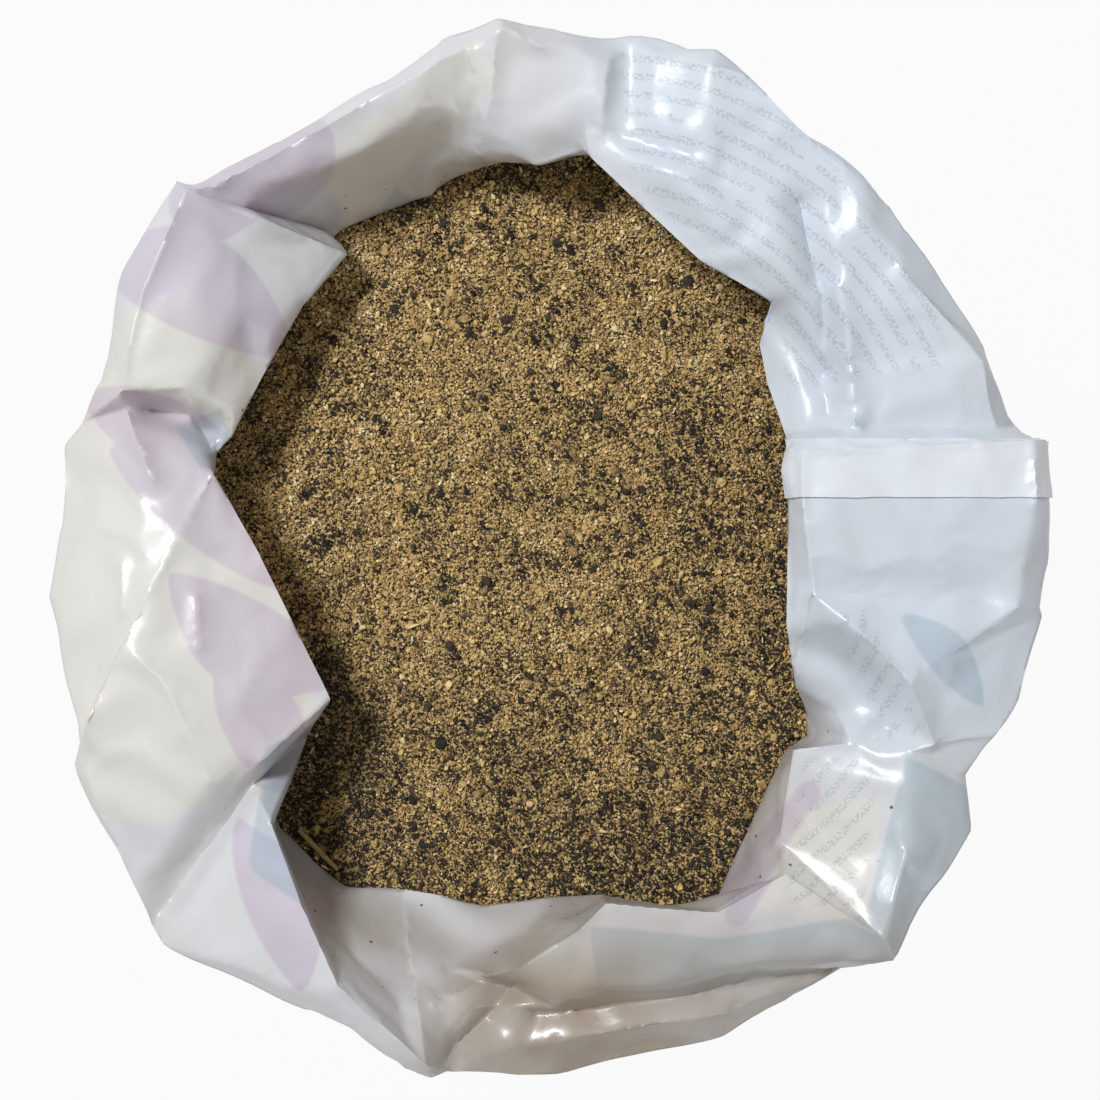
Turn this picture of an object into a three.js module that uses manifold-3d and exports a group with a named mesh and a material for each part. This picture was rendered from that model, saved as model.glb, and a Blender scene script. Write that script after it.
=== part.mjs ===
// An opened lawn fertilizer bag, standing filled, in millimetres with +Z up.
// The bag is one tube of white film, welded flat across its bottom. Its mouth is folded outwards all round
// into a crumpled collar, and the granular fertilizer inside is seen through the mouth.
// The origin is on the floor under the middle of the bag. +X runs across the bag, along its bottom weld.
import * as THREE from "three";
import Module from "manifold-3d";

// Driving dimensions
const RIM_HEIGHT = 360; // floor to the highest fold of the mouth
const COLLAR_WIDTH = 256; // across the folded mouth, along X
const COLLAR_DEPTH = 268; // across the folded mouth, along Y
const COLLAR_DROP = 45; // rim down to the deepest part of the lip
const BODY_WIDTH = 234; // across the filled body, along X
const BODY_DEPTH = 246; // across the filled body, along Y
const SHOULDER_DROP = 100; // rim down to where the body starts to draw in
const THROAT_DROP = 66; // rim down to the narrow neck under the collar
const THROAT_INSET = 10; // the neck is this much smaller than the body, all round
const SHOULDER_INSET = 4; // and the shoulder this much
const HEEL_HEIGHT = 34; // the rounded edge round the base rises this far
const BASE_INSET = 22; // the flat base is this much smaller than the body, all round
const EAR_REACH = 14; // each bottom corner pokes out of the body this far
const EAR_HALF_ANGLE = 20; // degrees, from a corner's tip to where it joins the body
const CUFF_DROP = 50; // the turned-down edge hangs this far below the brim
const CUFF_TUCK = 4; // and curls in this far towards the body
const DENT_DEPTH = 3.2; // the soft hollows in the film over the fill
const FILM = 0.2; // film thickness
const FILL_DROP = 49; // rim down to the edge of the fertilizer
const MOUND_RISE = 7; // the fertilizer's middle stands this much higher than its edge
const RIPPLE_HEIGHT = 1.2; // low waves in the fertilizer, from level to crest
const RIPPLE_LENGTH = 130; // from crest to crest
const CRUMB_HEIGHT = 1.4; // crumbs that the granules cling together in, from level to top
const CRUMB_LENGTH = 15; // from crumb to crumb
const CRUMB_STEP = 4.6; // distance between the points that draw them
const HOLLOW_DEPTH = 9; // the hollow under the near left flap
const HOLLOW_REACH = 17; // from its middle to where it has mostly gone
const FILL_CLEARANCE = 0.4; // between the film and the fertilizer
const BEARINGS = 48; // film points round the body
const LEAST_AHEAD = 0.3; // cosine between the way a film point is moved and each face round it
const MAX_TURNS = 60; // tries at that

// The collar, panel by panel, counter-clockwise from +X. Each panel is a stretch of film between two pleats,
// with its points on four fold lines: lip, where the film drops into the bag; inner and outer, the creases
// across the panel; brim, where it turns down outside. A point is [x, y, drop], with the drop measured down
// from the rim, and the whole drawing is stretched to the collar's width, depth and drop. Where one panel
// overlaps the next, the two meet in a step.
const PANELS = [
  {
    name: "strip with the cut weld of the mouth across it",
    lip: [[60, -2, 9], [60, 12, 7], [59, 20, 6], [60, 25, 6]],
    inner: [[65, -2, 1], [63, 11, 0], [63, 24, 0]],
    outer: [[121, -2, 4], [122, 12, 2], [121, 27, 2]],
    brim: [[128, -2, 12], [127, 13, 9], [126, 28, 9]],
  },
  {
    name: "low tab tucked under the strip",
    lip: [[60, 30, 16], [56, 43, 20], [54, 53, 20]],
    inner: [[70, 31, 9], [71, 45, 9]],
    outer: [[113, 31, 8], [110, 47, 5]],
    brim: [[119, 32, 16], [116, 42, 14]],
  },
  {
    name: "long panel on the far right",
    lip: [[56, 63, 9], [38, 73, 7], [23, 87, 7], [10, 100, 9]],
    inner: [[65, 64, 5], [46, 80, 2], [27, 95, 2], [14, 105, 5]],
    outer: [[88, 71, 2], [74, 95, 1], [49, 118, 1], [40, 122, 2], [28, 124, 5], [18, 122, 9]],
    brim: [
      [111, 52, 13], [102, 66, 10], [86, 87, 6], [76, 96, 4],
      [55, 113, 4], [42, 126, 4], [28, 130, 9], [16, 131, 11],
    ],
  },
  {
    name: "far panel under the peak",
    lip: [[8, 102, 13], [-2, 99, 16], [-18, 99, 18]],
    inner: [[9, 108, 5], [-3, 107, 7], [-18, 107, 9]],
    outer: [[11, 125, 4], [4, 127, 3], [-13, 129, 1]],
    brim: [[9, 131, 8], [3, 131, 6], [-13, 133, 3]],
  },
  {
    name: "rolled edge on the far left, with the wall below it",
    lip: [[-21, 97, 42], [-32, 95, 43], [-58, 85, 45]],
    inner: [[-19, 120, 5], [-33, 110, 4], [-51, 100, 5], [-78, 87, 9]],
    outer: [[-21, 126, 1], [-37, 117, 0], [-58, 105, 0], [-84, 91, 1]],
    brim: [[-27, 128, 4], [-43, 119, 5], [-70, 103, 6], [-88, 93, 7]],
  },
  {
    name: "broad flap on the upper left, leaning over the fill",
    lip: [[-53, 77, 26], [-64, 63, 23], [-74, 45, 20], [-82, 29, 19], [-86, 25, 19]],
    inner: [[-73, 84, 5], [-79, 78, 7], [-81, 57, 6], [-92, 41, 6]],
    outer: [[-91, 90, 0], [-96, 79, 0], [-102, 65, 1], [-106, 50, 2], [-107, 40, 3]],
    brim: [[-94, 93, 5], [-99, 87, 8], [-109, 70, 10], [-114, 51, 12], [-116, 42, 12]],
  },
  {
    name: "left panel, with two long creases",
    lip: [[-85, 19, 10], [-73, -2, 9], [-56, -38, 14]],
    inner: [[-93, 35, 14], [-89, 20, 8], [-86, 0, 6], [-100, -27, 1], [-91, -45, 1], [-77, -57, 5]],
    outer: [[-107, 36, 10], [-104, 28, 6], [-100, -10, 2], [-117, -43, 5], [-117, -57, 8], [-98, -84, 12]],
    brim: [
      [-120, 33, 16], [-125, 27, 16], [-125, 7, 14], [-128, -12, 12],
      [-120, -47, 10], [-122, -55, 12], [-113, -71, 14], [-104, -93, 15],
    ],
  },
  {
    name: "near left flap, folded over the wall behind it",
    lip: [[-64, -49, 37], [-74, -73, 43], [-56, -90, 45], [-40, -91, 45]],
    inner: [[-76, -60, 11], [-70, -68, 3], [-62, -89, 1], [-53, -109, 1], [-31, -128, 2]],
    outer: [[-95, -86, 15], [-92, -94, 9], [-63, -111, 5], [-37, -127, 4], [-30, -130, 3]],
    brim: [[-103, -97, 17], [-99, -101, 12], [-63, -117, 10], [-37, -131, 8], [-30, -133, 4]],
  },
  {
    name: "near wall",
    lip: [[-32, -92, 45], [-18, -95, 45]],
    inner: [[-38, -100, 34], [-27, -109, 25]],
    outer: [[-28, -124, 10], [-20, -117, 14]],
    brim: [[-26, -132, 6], [-8, -135, 17]],
  },
  {
    name: "flap crossing the near wall",
    lip: [[-1, -93, 44], [14, -92, 42], [30, -95, 41], [43, -96, 41]],
    inner: [[-13, -109, 13], [-5, -104, 8], [7, -96, 6], [14, -89, 5], [42, -91, 4], [59, -82, 6]],
    outer: [[2, -116, 10], [39, -110, 9], [64, -105, 7], [81, -103, 6]],
    brim: [[2, -135, 20], [23, -131, 20], [45, -126, 21], [61, -117, 20], [75, -107, 16]],
  },
  {
    name: "pocket on the near right",
    lip: [[52, -75, 41], [63, -53, 39], [68, -49, 38]],
    inner: [[59, -75, 17], [62, -51, 14], [76, -49, 10]],
    outer: [[84, -98, 3], [90, -76, 4], [91, -51, 5]],
    brim: [[86, -103, 5], [97, -87, 12], [108, -72, 14], [107, -58, 14]],
  },
  {
    name: "right panel below the strip",
    lip: [[67, -43, 31], [63, -34, 20], [60, -20, 11]],
    inner: [[74, -42, 18], [69, -24, 10], [66, -11, 2], [66, -8, 1]],
    outer: [[97, -49, 5], [90, -33, 1], [118, -14, 4]],
    brim: [[114, -47, 10], [119, -38, 12], [125, -17, 12]],
  },
];

const wasm = await Module();
wasm.setup();

const bearingOf = (p) => {
  const turn = Math.atan2(p.y, p.x);
  return turn < 0 ? turn + 2 * Math.PI : turn;
};
const around = (bearing, radius, z) =>
  new THREE.Vector3(radius * Math.cos(bearing), radius * Math.sin(bearing), z);

// A point of the collar's drawing, at the collar's real size.
const drawing = new THREE.Box3()
  .setFromPoints(PANELS.flatMap((panel) => panel.brim).map((p) => new THREE.Vector3(...p)))
  .getSize(new THREE.Vector3());
const deepest = Math.max(...PANELS.flatMap((panel) => panel.lip.map((p) => p[2])));
const collarPoint = ([x, y, drop]) =>
  new THREE.Vector3(
    (x * COLLAR_WIDTH) / drawing.x,
    (y * COLLAR_DEPTH) / drawing.y,
    RIM_HEIGHT - (drop * COLLAR_DROP) / deepest,
  );

// The radius of the body's oval at a bearing, drawn in by inset.
function bodyRadius(bearing, inset) {
  const a = BODY_WIDTH / 2 - inset;
  const b = BODY_DEPTH / 2 - inset;
  return (a * b) / Math.hypot(b * Math.cos(bearing), a * Math.sin(bearing));
}

// Soft hollows that wander round the body as they rise. They fade out at the base and at the neck.
function dent(bearing, z) {
  const share = THREE.MathUtils.clamp(z / (RIM_HEIGHT - THROAT_DROP), 0, 1);
  const wave =
    Math.sin(3 * bearing + 5 * share) +
    0.7 * Math.sin(5 * bearing - 7 * share + 1) +
    0.5 * Math.sin(8 * bearing + 9 * share + 2);
  return DENT_DEPTH * wave * Math.sin(Math.PI * share);
}

// The two bottom corners, at the ends of the bottom weld: how far they stand out of the body at a bearing.
function ear(bearing, share) {
  const off = Math.abs(Math.asin(Math.sin(bearing)));
  const half = THREE.MathUtils.degToRad(EAR_HALF_ANGLE);
  return EAR_REACH * share * Math.max(0, 1 - off / half);
}

// A ring of film round the body.
function bodyRing(z, inset, earShare = 0) {
  return Array.from({ length: BEARINGS }, (_, i) => {
    const bearing = (2 * Math.PI * i) / BEARINGS;
    return around(bearing, bodyRadius(bearing, inset) + dent(bearing, z) + ear(bearing, earShare), z);
  });
}

// A surface put together from rows of points. Its faces look towards the inside of the bag.
class Skin {
  points = [];
  faces = [];

  // Adds a row of points and gives back their numbers.
  row(vectors) {
    return vectors.map((v) => this.points.push(v) - 1);
  }

  // Triangles between two rows, each with a place from 0 to 1 for every point, stepping along whichever row
  // is behind. A row of one point closes an end.
  zip(low, lowPlaces, high, highPlaces) {
    let i = 0;
    let j = 0;
    while (i < low.length - 1 || j < high.length - 1) {
      const lowBehind = i < low.length - 1 && lowPlaces[i + 1] < highPlaces[j + 1];
      const stepLow = j === high.length - 1 || lowBehind;
      this.faces.push([low[i], high[j], stepLow ? low[i + 1] : high[j + 1]]);
      if (stepLow) i += 1;
      else j += 1;
    }
  }

  // Joins two closed rings by bearing.
  joinRings(low, high) {
    const opened = (ring) => {
      const sorted = [...ring].sort((a, b) => bearingOf(this.points[a]) - bearingOf(this.points[b]));
      const places = sorted.map((i) => bearingOf(this.points[i]) / (2 * Math.PI));
      return ring.length === 1 ? [sorted, places] : [[...sorted, sorted[0]], [...places, places[0] + 1]];
    };
    this.zip(...opened(low), ...opened(high));
  }

  // Joins two rows by their share of the length along each.
  joinRows(low, high) {
    const shares = (row) => {
      const lengths = row.map((i, k) => (k ? this.points[i].distanceTo(this.points[row[k - 1]]) : 0));
      const total = lengths.reduce((sum, length) => sum + length, 0);
      let walked = 0;
      return lengths.map((length) => (walked += length) / (total || 1));
    };
    this.zip(low, shares(low), high, shares(high));
  }
}

function toGeometry(points, faces) {
  const geometry = new THREE.BufferGeometry();
  geometry.setAttribute("position", new THREE.Float32BufferAttribute(points.flatMap((p) => p.toArray()), 3));
  geometry.setIndex(faces.flat());
  geometry.computeVertexNormals();
  return geometry;
}

// The same points moved towards the inside of the bag. Where the film is folded sharply, the mean of the
// faces round a point can look away from one of them, so the direction is turned towards the worst face until
// all of them are ahead.
function moved({ points, faces }, distance) {
  const facing = points.map(() => []);
  for (const face of faces) {
    const [a, b, c] = face.map((i) => points[i]);
    const normal = new THREE.Triangle(a, b, c).getNormal(new THREE.Vector3());
    face.forEach((i) => facing[i].push(normal));
  }
  return points.map((p, i) => {
    const ahead = facing[i].reduce((sum, normal) => sum.add(normal), new THREE.Vector3()).normalize();
    for (let turn = 0; turn < MAX_TURNS; turn += 1) {
      const worst = facing[i].reduce((low, normal) => (normal.dot(ahead) < low.dot(ahead) ? normal : low));
      if (worst.dot(ahead) > LEAST_AHEAD) break;
      ahead.addScaledVector(worst, LEAST_AHEAD).normalize();
    }
    return p.clone().addScaledVector(ahead, distance);
  });
}

const flipped = (faces) => faces.map(([a, b, c]) => [a, c, b]);

// Gives a skin its thickness, closed along its free edge.
function film(skin, edge) {
  const count = skin.points.length;
  const points = [...skin.points, ...moved(skin, -FILM)];
  const outside = flipped(skin.faces).map((face) => face.map((i) => i + count));
  const rim = edge.flatMap((a, k) => {
    const b = edge[(k + 1) % edge.length];
    return [[b, a, a + count], [b, a + count, b + count]];
  });
  return toGeometry(points, [...skin.faces, ...outside, ...rim]);
}

function toManifold(points, faces) {
  return new wasm.Manifold(
    new wasm.Mesh({
      numProp: 3,
      vertProperties: Float32Array.from(points.flatMap((p) => p.toArray())),
      triVerts: Uint32Array.from(faces.flat()),
    }),
  );
}

function fromManifold(solid) {
  const mesh = solid.getMesh();
  const geometry = new THREE.BufferGeometry();
  geometry.setAttribute("position", new THREE.Float32BufferAttribute(mesh.vertProperties, 3));
  geometry.setIndex([...mesh.triVerts]);
  geometry.computeVertexNormals();
  return geometry;
}

// The bag, from the middle of its base up the body and through the neck to the lip of the collar
const pole = (z) => [new THREE.Vector3(0, 0, z)];
const shoulder = RIM_HEIGHT - SHOULDER_DROP;
const throat = RIM_HEIGHT - THROAT_DROP;
const rise = (share) => THREE.MathUtils.lerp(HEEL_HEIGHT, shoulder, share);
const bodyRings = [
  pole(FILM),
  bodyRing(FILM, BASE_INSET * 2),
  bodyRing(FILM, BASE_INSET, 0.5),
  bodyRing(HEEL_HEIGHT * 0.25, BASE_INSET * 0.35, 1),
  bodyRing(HEEL_HEIGHT, BASE_INSET * 0.1, 0.35),
  bodyRing(rise(0.2), 0),
  bodyRing(rise(0.45), 0),
  bodyRing(rise(0.7), SHOULDER_INSET * 0.25),
  bodyRing(rise(0.88), SHOULDER_INSET * 0.5),
  bodyRing(shoulder, SHOULDER_INSET),
];

// A neck point, straight below a point of the lip.
const neckPoint = (p) => {
  const bearing = bearingOf(p);
  return around(bearing, bodyRadius(bearing, THROAT_INSET), throat);
};

// Lays the body, the neck and the lip into a skin, and gives back the lip's points, panel by panel.
function layBody(skin) {
  const rings = bodyRings.map((ring) => skin.row(ring));
  const lipPoints = PANELS.map((panel) => panel.lip.map(collarPoint));
  const neck = skin.row(lipPoints.flat().map(neckPoint));
  const lip = lipPoints.map((row) => skin.row(row));
  [...rings, neck, lip.flat()].reduce((low, high) => {
    skin.joinRings(low, high);
    return high;
  });
  return lip;
}

// Joins one fold line of the collar to the next: along each panel, then across its step to the next panel.
function joinFolds(skin, low, high) {
  low.forEach((row, k) => {
    const next = (k + 1) % low.length;
    skin.joinRows(row, high[k]);
    skin.joinRows([row.at(-1), low[next][0]], [high[k].at(-1), high[next][0]]);
  });
  return high;
}

// The free edge, hanging outside the brim in a loose wave
const hemPoint = (p, i) => {
  const tuck = 1 - (CUFF_TUCK + CUFF_TUCK * 0.4 * Math.sin(1.7 * i)) / Math.hypot(p.x, p.y);
  return new THREE.Vector3(p.x * tuck, p.y * tuck, p.z - CUFF_DROP * (1 + 0.14 * Math.sin(0.9 * i)));
};
const bagSkin = new Skin();
const brim = ["inner", "outer", "brim"]
  .map((line) => PANELS.map((panel) => panel[line].map(collarPoint)))
  .reduce((low, line) => joinFolds(bagSkin, low, line.map((row) => bagSkin.row(row))), layBody(bagSkin))
  .flat();
const hem = bagSkin.row(brim.map((i, k) => hemPoint(bagSkin.points[i], k)));
bagSkin.joinRings(brim, hem);

// The fertilizer fills the bag up to a low, crumbly mound, a clearance away from the film.
const chamber = new Skin();
chamber.joinRings(layBody(chamber).flat(), chamber.row(pole(RIM_HEIGHT)));
const clearOfFilm = moved(bagSkin, FILL_CLEARANCE).slice(0, chamber.points.length - 1);
const wave = (along, length, start) => Math.sin((2 * Math.PI * along) / length + start);
const ripple = (x, y) => wave(x, RIPPLE_LENGTH, 0.6) * wave(y, RIPPLE_LENGTH, 1.1);

// Crumbs from -1 to 1: three crossed wave patterns of unlike lengths, turned against each other.
const crumbs = (x, y) =>
  [0, 1, 2].reduce((sum, k) => {
    const turn = 0.4 + 1.9 * k;
    const along = x * Math.cos(turn) + y * Math.sin(turn);
    const across = y * Math.cos(turn) - x * Math.sin(turn);
    const rows = wave(along, CRUMB_LENGTH * (1 + 0.23 * k), k);
    return sum + rows * wave(across, CRUMB_LENGTH * (1 + 0.31 * k), 2 * k);
  }, 0) / 3;

const hollowMiddle = collarPoint([-67, -72, 0]);
const hollow = (x, y) =>
  Math.exp(-(((x - hollowMiddle.x) / HOLLOW_REACH) ** 2) - ((y - hollowMiddle.y) / HOLLOW_REACH) ** 2);
const moundHeight = (x, y) => {
  const share = (x * x + y * y) / (BODY_WIDTH * BODY_DEPTH * 0.25);
  const level = RIM_HEIGHT - FILL_DROP + MOUND_RISE * (1 - share);
  return level + RIPPLE_HEIGHT * ripple(x, y) + CRUMB_HEIGHT * crumbs(x, y) - HOLLOW_DEPTH * hollow(x, y);
};
const moundReach = 0.6 * Math.max(COLLAR_WIDTH, COLLAR_DEPTH);
const moundRings = Math.round(moundReach / CRUMB_STEP);
const moundRing = (_, k) => {
  const radius = moundReach * (1 - k / moundRings);
  const count = Math.round((2 * Math.PI * radius) / CRUMB_STEP);
  return Array.from({ length: count }, (_, i) => {
    const p = around((2 * Math.PI * i) / count, radius, 0);
    return p.setZ(moundHeight(p.x, p.y));
  });
};
const moundTop = Array.from({ length: moundRings }, moundRing);
const mound = new Skin();
[
  pole(-RIM_HEIGHT),
  moundTop[0].map((p) => p.clone().setZ(-RIM_HEIGHT)),
  ...moundTop,
  pole(moundHeight(0, 0)),
]
  .map((ring) => mound.row(ring))
  .reduce((low, high) => {
    mound.joinRings(low, high);
    return high;
  });
const heap = toManifold([...clearOfFilm, ...pole(RIM_HEIGHT)], flipped(chamber.faces)).intersect(
  toManifold(mound.points, flipped(mound.faces)),
);

const group = new THREE.Group();
group.name = "fertilizer_bag";
const add = (name, geometry, look) => {
  const mesh = new THREE.Mesh(geometry, new THREE.MeshStandardMaterial({ metalness: 0, ...look }));
  mesh.name = name;
  group.add(mesh);
};
add("bag", film(bagSkin, hem), { color: 0xe6e5e2, roughness: 0.25 });
add("fertilizer_fill", fromManifold(heap), { color: 0x6f5730, roughness: 0.95 });

export default group;
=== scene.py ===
"""An opened lawn fertilizer bag: crumpled printed film, and granulate seen through its mouth.

Lengths are in metres, and +Z is up. Places on the folded mouth are in millimetres, as seen from above.
"""

import math

import bmesh
import bpy
import numpy as np
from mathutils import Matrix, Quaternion, Vector, noise
from mathutils.bvhtree import BVHTree


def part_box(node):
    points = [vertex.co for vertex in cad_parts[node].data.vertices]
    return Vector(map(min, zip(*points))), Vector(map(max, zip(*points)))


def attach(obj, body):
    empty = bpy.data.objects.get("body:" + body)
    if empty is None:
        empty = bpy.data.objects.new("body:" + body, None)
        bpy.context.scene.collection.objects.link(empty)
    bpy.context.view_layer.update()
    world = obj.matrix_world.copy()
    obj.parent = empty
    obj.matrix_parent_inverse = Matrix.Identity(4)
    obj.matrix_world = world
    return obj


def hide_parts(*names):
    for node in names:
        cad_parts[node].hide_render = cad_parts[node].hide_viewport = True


bl_info = {
    "name": "Lawn fertilizer bag",
    "version": (1, 0, 0),
    "blender": (4, 5, 0),
    "location": "3D View > Sidebar > Bag",
    "description": "Builds the looks of an opened film bag of granular lawn fertilizer",
    "category": "Object",
}

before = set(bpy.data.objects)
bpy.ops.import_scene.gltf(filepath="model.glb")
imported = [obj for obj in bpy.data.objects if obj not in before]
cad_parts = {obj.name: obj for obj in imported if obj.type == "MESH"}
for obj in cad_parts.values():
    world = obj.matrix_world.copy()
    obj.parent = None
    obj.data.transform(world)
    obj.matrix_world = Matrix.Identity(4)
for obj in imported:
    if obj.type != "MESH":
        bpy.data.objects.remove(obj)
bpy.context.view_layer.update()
BAG_LOW, BAG_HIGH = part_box("bag")
FILL_LOW, FILL_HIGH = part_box("fertilizer_fill")

MM = 0.001
COLLAR_FLOOR = FILL_HIGH.z - 0.030  # below this the film is body, above it is folded collar
CUT_EDGE = 0.5 * MM  # the film's cut edge is narrower than this
MERGE = 0.005 * MM  # loose corners closer than this are one point
BODY_RADIUS = 118  # millimetres, to turn a bearing into a length along the girth
CUFF_FACING = 0.3  # film that faces outwards more than this is the turned-down edge
DOWN = Vector((0, 0, -1))


def linear(hex_colour):
    """An sRGB hex colour as linear red, green and blue."""
    parts = [int(hex_colour[i : i + 2], 16) / 255 for i in (1, 3, 5)]
    return tuple(c / 12.92 if c <= 0.04045 else ((c + 0.055) / 1.055) ** 2.4 for c in parts)


def number(name, description, default, **more):
    return bpy.props.FloatProperty(name=name, description=description, default=default, **more)


def length(name, description, default):
    return number(name, description, default, unit="LENGTH", precision=5)


def colour(name, description, hex_colour):
    return bpy.props.FloatVectorProperty(
        name=name, description=description, default=linear(hex_colour), subtype="COLOR", size=3, min=0, max=1
    )


class FilmSettings(bpy.types.PropertyGroup):
    """Sizes and colours of the film."""

    thickness: length("Film thickness", "Thickness of the film", 0.22 * MM)
    girth: length("Girth", "Girth of the film tube that the bag is cut from", 0.8)
    cut_length: length("Cut length", "Length that the tube is cut to", 0.52)
    collar_step: length("Collar mesh", "Edge length of the film's mesh on the folded mouth", 2.1 * MM)
    neck_step: length("Neck mesh", "Edge length of the film's mesh on the neck and its edge", 3.4 * MM)
    body_step: length("Body mesh", "Edge length of the film's mesh below the mouth", 7 * MM)
    spare: number("Spare film", "Share by which it is too large", 0.012, subtype="FACTOR", min=0, max=0.1)
    ghost: number("Show-through", "Share of the print seen inside", 0.36, subtype="FACTOR", min=0, max=1)
    white: colour("White", "The film itself", "#D6D6D8")
    warm: colour("Warm white", "Faint warm clouds in the film", "#D3CCBF")
    # Partly painted light: a welded double layer is whiter, and this colour is brighter and bluer still for
    # the cool light on the strip
    double_white_and_cool_light: colour("Double white", "The film where two layers are welded", "#E3E8F0")
    # On the mouth this pale blue is painted cool light on the right side; on the body it is a printed band
    pale_blue: colour("Pale blue", "Ground of the print on the right", "#C6DAEE")
    cream: colour("Cream", "Pale fields of the print", "#E3DCC8")
    lilac: colour("Lilac", "Broad leaves of the print", "#B397BB")
    blue: colour("Blue", "Blue fields of the print", "#7FA3B3")
    ink: colour("Ink", "Rows of small print, drawn as specks", "#8FA0AA")
    dust: colour("Dust", "Specks of fertilizer on the film", "#6A5231")
    # Painted shade: this warm brown darkens the walls inside the mouth and the near side, for shade and for
    # light bounced off the fertilizer
    grime: colour("Painted shade", "Film that is rubbed with dust", "#937F66")


class FillSettings(bpy.types.PropertyGroup):
    """Sizes and colours of the fertilizer."""

    granule: length("Granule", "Usual width of a granule", 0.88 * MM)
    fine: length("Fine grain", "Usual width of a fine grain", 0.52 * MM)
    lump: length("Lump", "Usual width of a lump", 2 * MM)
    margin: length("Margin", "How far granules go on under the film's lip", 12 * MM)
    seed: bpy.props.IntProperty(name="Seed", description="Start of the random draws", default=7)
    darkest: colour("Darkest", "Black granules", "#181614")
    dark: colour("Dark", "Dark brown granules", "#4A3F31")
    middle: colour("Middle", "Brown granules", "#B8975F")
    ochre: colour("Ochre", "Ochre granules", "#E9C884")
    pale: colour("Pale", "Straw and flakes", "#F8EBC8")


class StageSettings(bpy.types.PropertyGroup):
    """Camera and light."""

    camera_height: length("Camera height", "Height of the camera above the floor", 0.960)
    lens: number("Lens", "Focal length of the camera, in millimetres", 78.5, subtype="DISTANCE_CAMERA")
    key_power: number("Key light", "Power of the main light, on the far left", 17.4, unit="POWER")
    fill_power: number("Fill light", "Power of the weak, wide light on the near right", 5.5, unit="POWER")
    sky: number("Sky", "Strength of the even light from all round", 0.34, min=0)
    lamp_tint: colour("Lamp tint", "Colour of the two lights", "#F6FAFF")
    sky_tint: colour("Sky tint", "Colour of the even light", "#FFFCF7")
    paper: colour("Paper", "The floor", "#B0B0B0")


def put(tree, kind, sockets=None, **settings):
    """Adds a node with its settings, and fills its sockets with values or with links from other sockets."""
    node = tree.nodes.new(kind)
    for name, value in settings.items():
        setattr(node, name, value)
    for key, value in (sockets or {}).items():
        if isinstance(value, bpy.types.NodeSocket):
            tree.links.new(value, node.inputs[key])
        else:
            node.inputs[key].default_value = value
    return node


def mapped(tree, value, low, high, to_low=0, to_high=1):
    """A value carried over from one range to another."""
    sockets = {"Value": value, "From Min": low, "From Max": high, "To Min": to_low, "To Max": to_high}
    return put(tree, "ShaderNodeMapRange", sockets).outputs[0]


def calculate(tree, operation, *values, **settings):
    """The result of an operation on values or sockets."""
    return put(tree, "ShaderNodeMath", dict(enumerate(values)), operation=operation, **settings).outputs[0]


def tinted(tree, share, under, over):
    """A colour laid over another one by a share."""
    return put(tree, "ShaderNodeMix", {0: share, 6: under, 7: (*over, 1)}, data_type="RGBA").outputs[2]


def clouds(tree, place, size, detail, distortion=0):
    """Soft random clouds of a usual size."""
    sockets = {"Vector": place, "Scale": 1 / size, "Detail": detail, "Distortion": distortion}
    return put(tree, "ShaderNodeTexNoise", sockets).outputs["Fac"]


def stored(tree, name):
    """The number that a piece stores for its points."""
    return put(tree, "ShaderNodeAttribute", attribute_name=name).outputs["Fac"]


def shade(tree, sockets):
    """Ends a material with its shader."""
    shader = put(tree, "ShaderNodeBsdfPrincipled", sockets)
    put(tree, "ShaderNodeOutputMaterial", {"Surface": shader.outputs[0]})


def new_material(name):
    material = bpy.data.materials.new(name)
    material.use_nodes = True
    material.node_tree.nodes.clear()
    return material, material.node_tree


def select_only(piece):
    bpy.ops.object.select_all(action="DESELECT")
    piece.select_set(True)
    bpy.context.view_layer.objects.active = piece


def new_piece(name, points, faces):
    """A mesh object at the origin."""
    mesh = bpy.data.meshes.new(name)
    mesh.from_pydata(np.asarray(points).tolist(), [], np.asarray(faces).tolist())
    mesh.update()
    piece = bpy.data.objects.new(name, mesh)
    bpy.context.scene.collection.objects.link(piece)
    return piece


def apply_modifier(piece, modifier):
    select_only(piece)
    bpy.ops.object.modifier_apply(modifier=modifier.name)


def thicken(piece, thickness, offset, material_offset, crisp):
    """Gives a piece of film its thickness, and shades it smooth up to an angle."""
    wall = piece.modifiers.new("wall", "SOLIDIFY")
    wall.thickness = thickness
    wall.offset = offset
    wall.material_offset = material_offset
    apply_modifier(piece, wall)
    bpy.ops.object.shade_smooth_by_angle(angle=crisp)


def points_of(piece):
    points = np.empty(len(piece.data.vertices) * 3)
    piece.data.vertices.foreach_get("co", points)
    return points.reshape(-1, 3)


def store(piece, name, numbers):
    """Stores a number for each point of a piece."""
    data = piece.data.attributes.new(name, "FLOAT", "POINT").data
    data.foreach_set("value", numbers.astype(np.float32))


def inside_face():
    """The inside face of the bag's film: the solid film without its outside and its cut edge."""
    bm = bmesh.new()
    bm.from_mesh(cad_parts["bag"].data)
    bmesh.ops.remove_doubles(bm, verts=bm.verts, dist=MERGE)
    cut = [face for face in bm.faces if min(edge.calc_length() for edge in face.edges) < CUT_EDGE]
    bmesh.ops.delete(bm, geom=cut, context="FACES")
    start = min(bm.verts, key=lambda v: (v.co - Vector((0, 0, CUT_EDGE))).length)
    kept = {start}
    edge_of_known = [start]
    while edge_of_known:
        vert = edge_of_known.pop()
        for edge in vert.link_edges:
            other = edge.other_vert(vert)
            if other not in kept:
                kept.add(other)
                edge_of_known.append(other)
    bmesh.ops.delete(bm, geom=[v for v in bm.verts if v not in kept], context="VERTS")
    return bm


SPLITS = 8, 4, 2, 1, 1  # each round of splitting goes down to this many steps
LONG = 1.35  # an edge this many times too long is split


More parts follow.
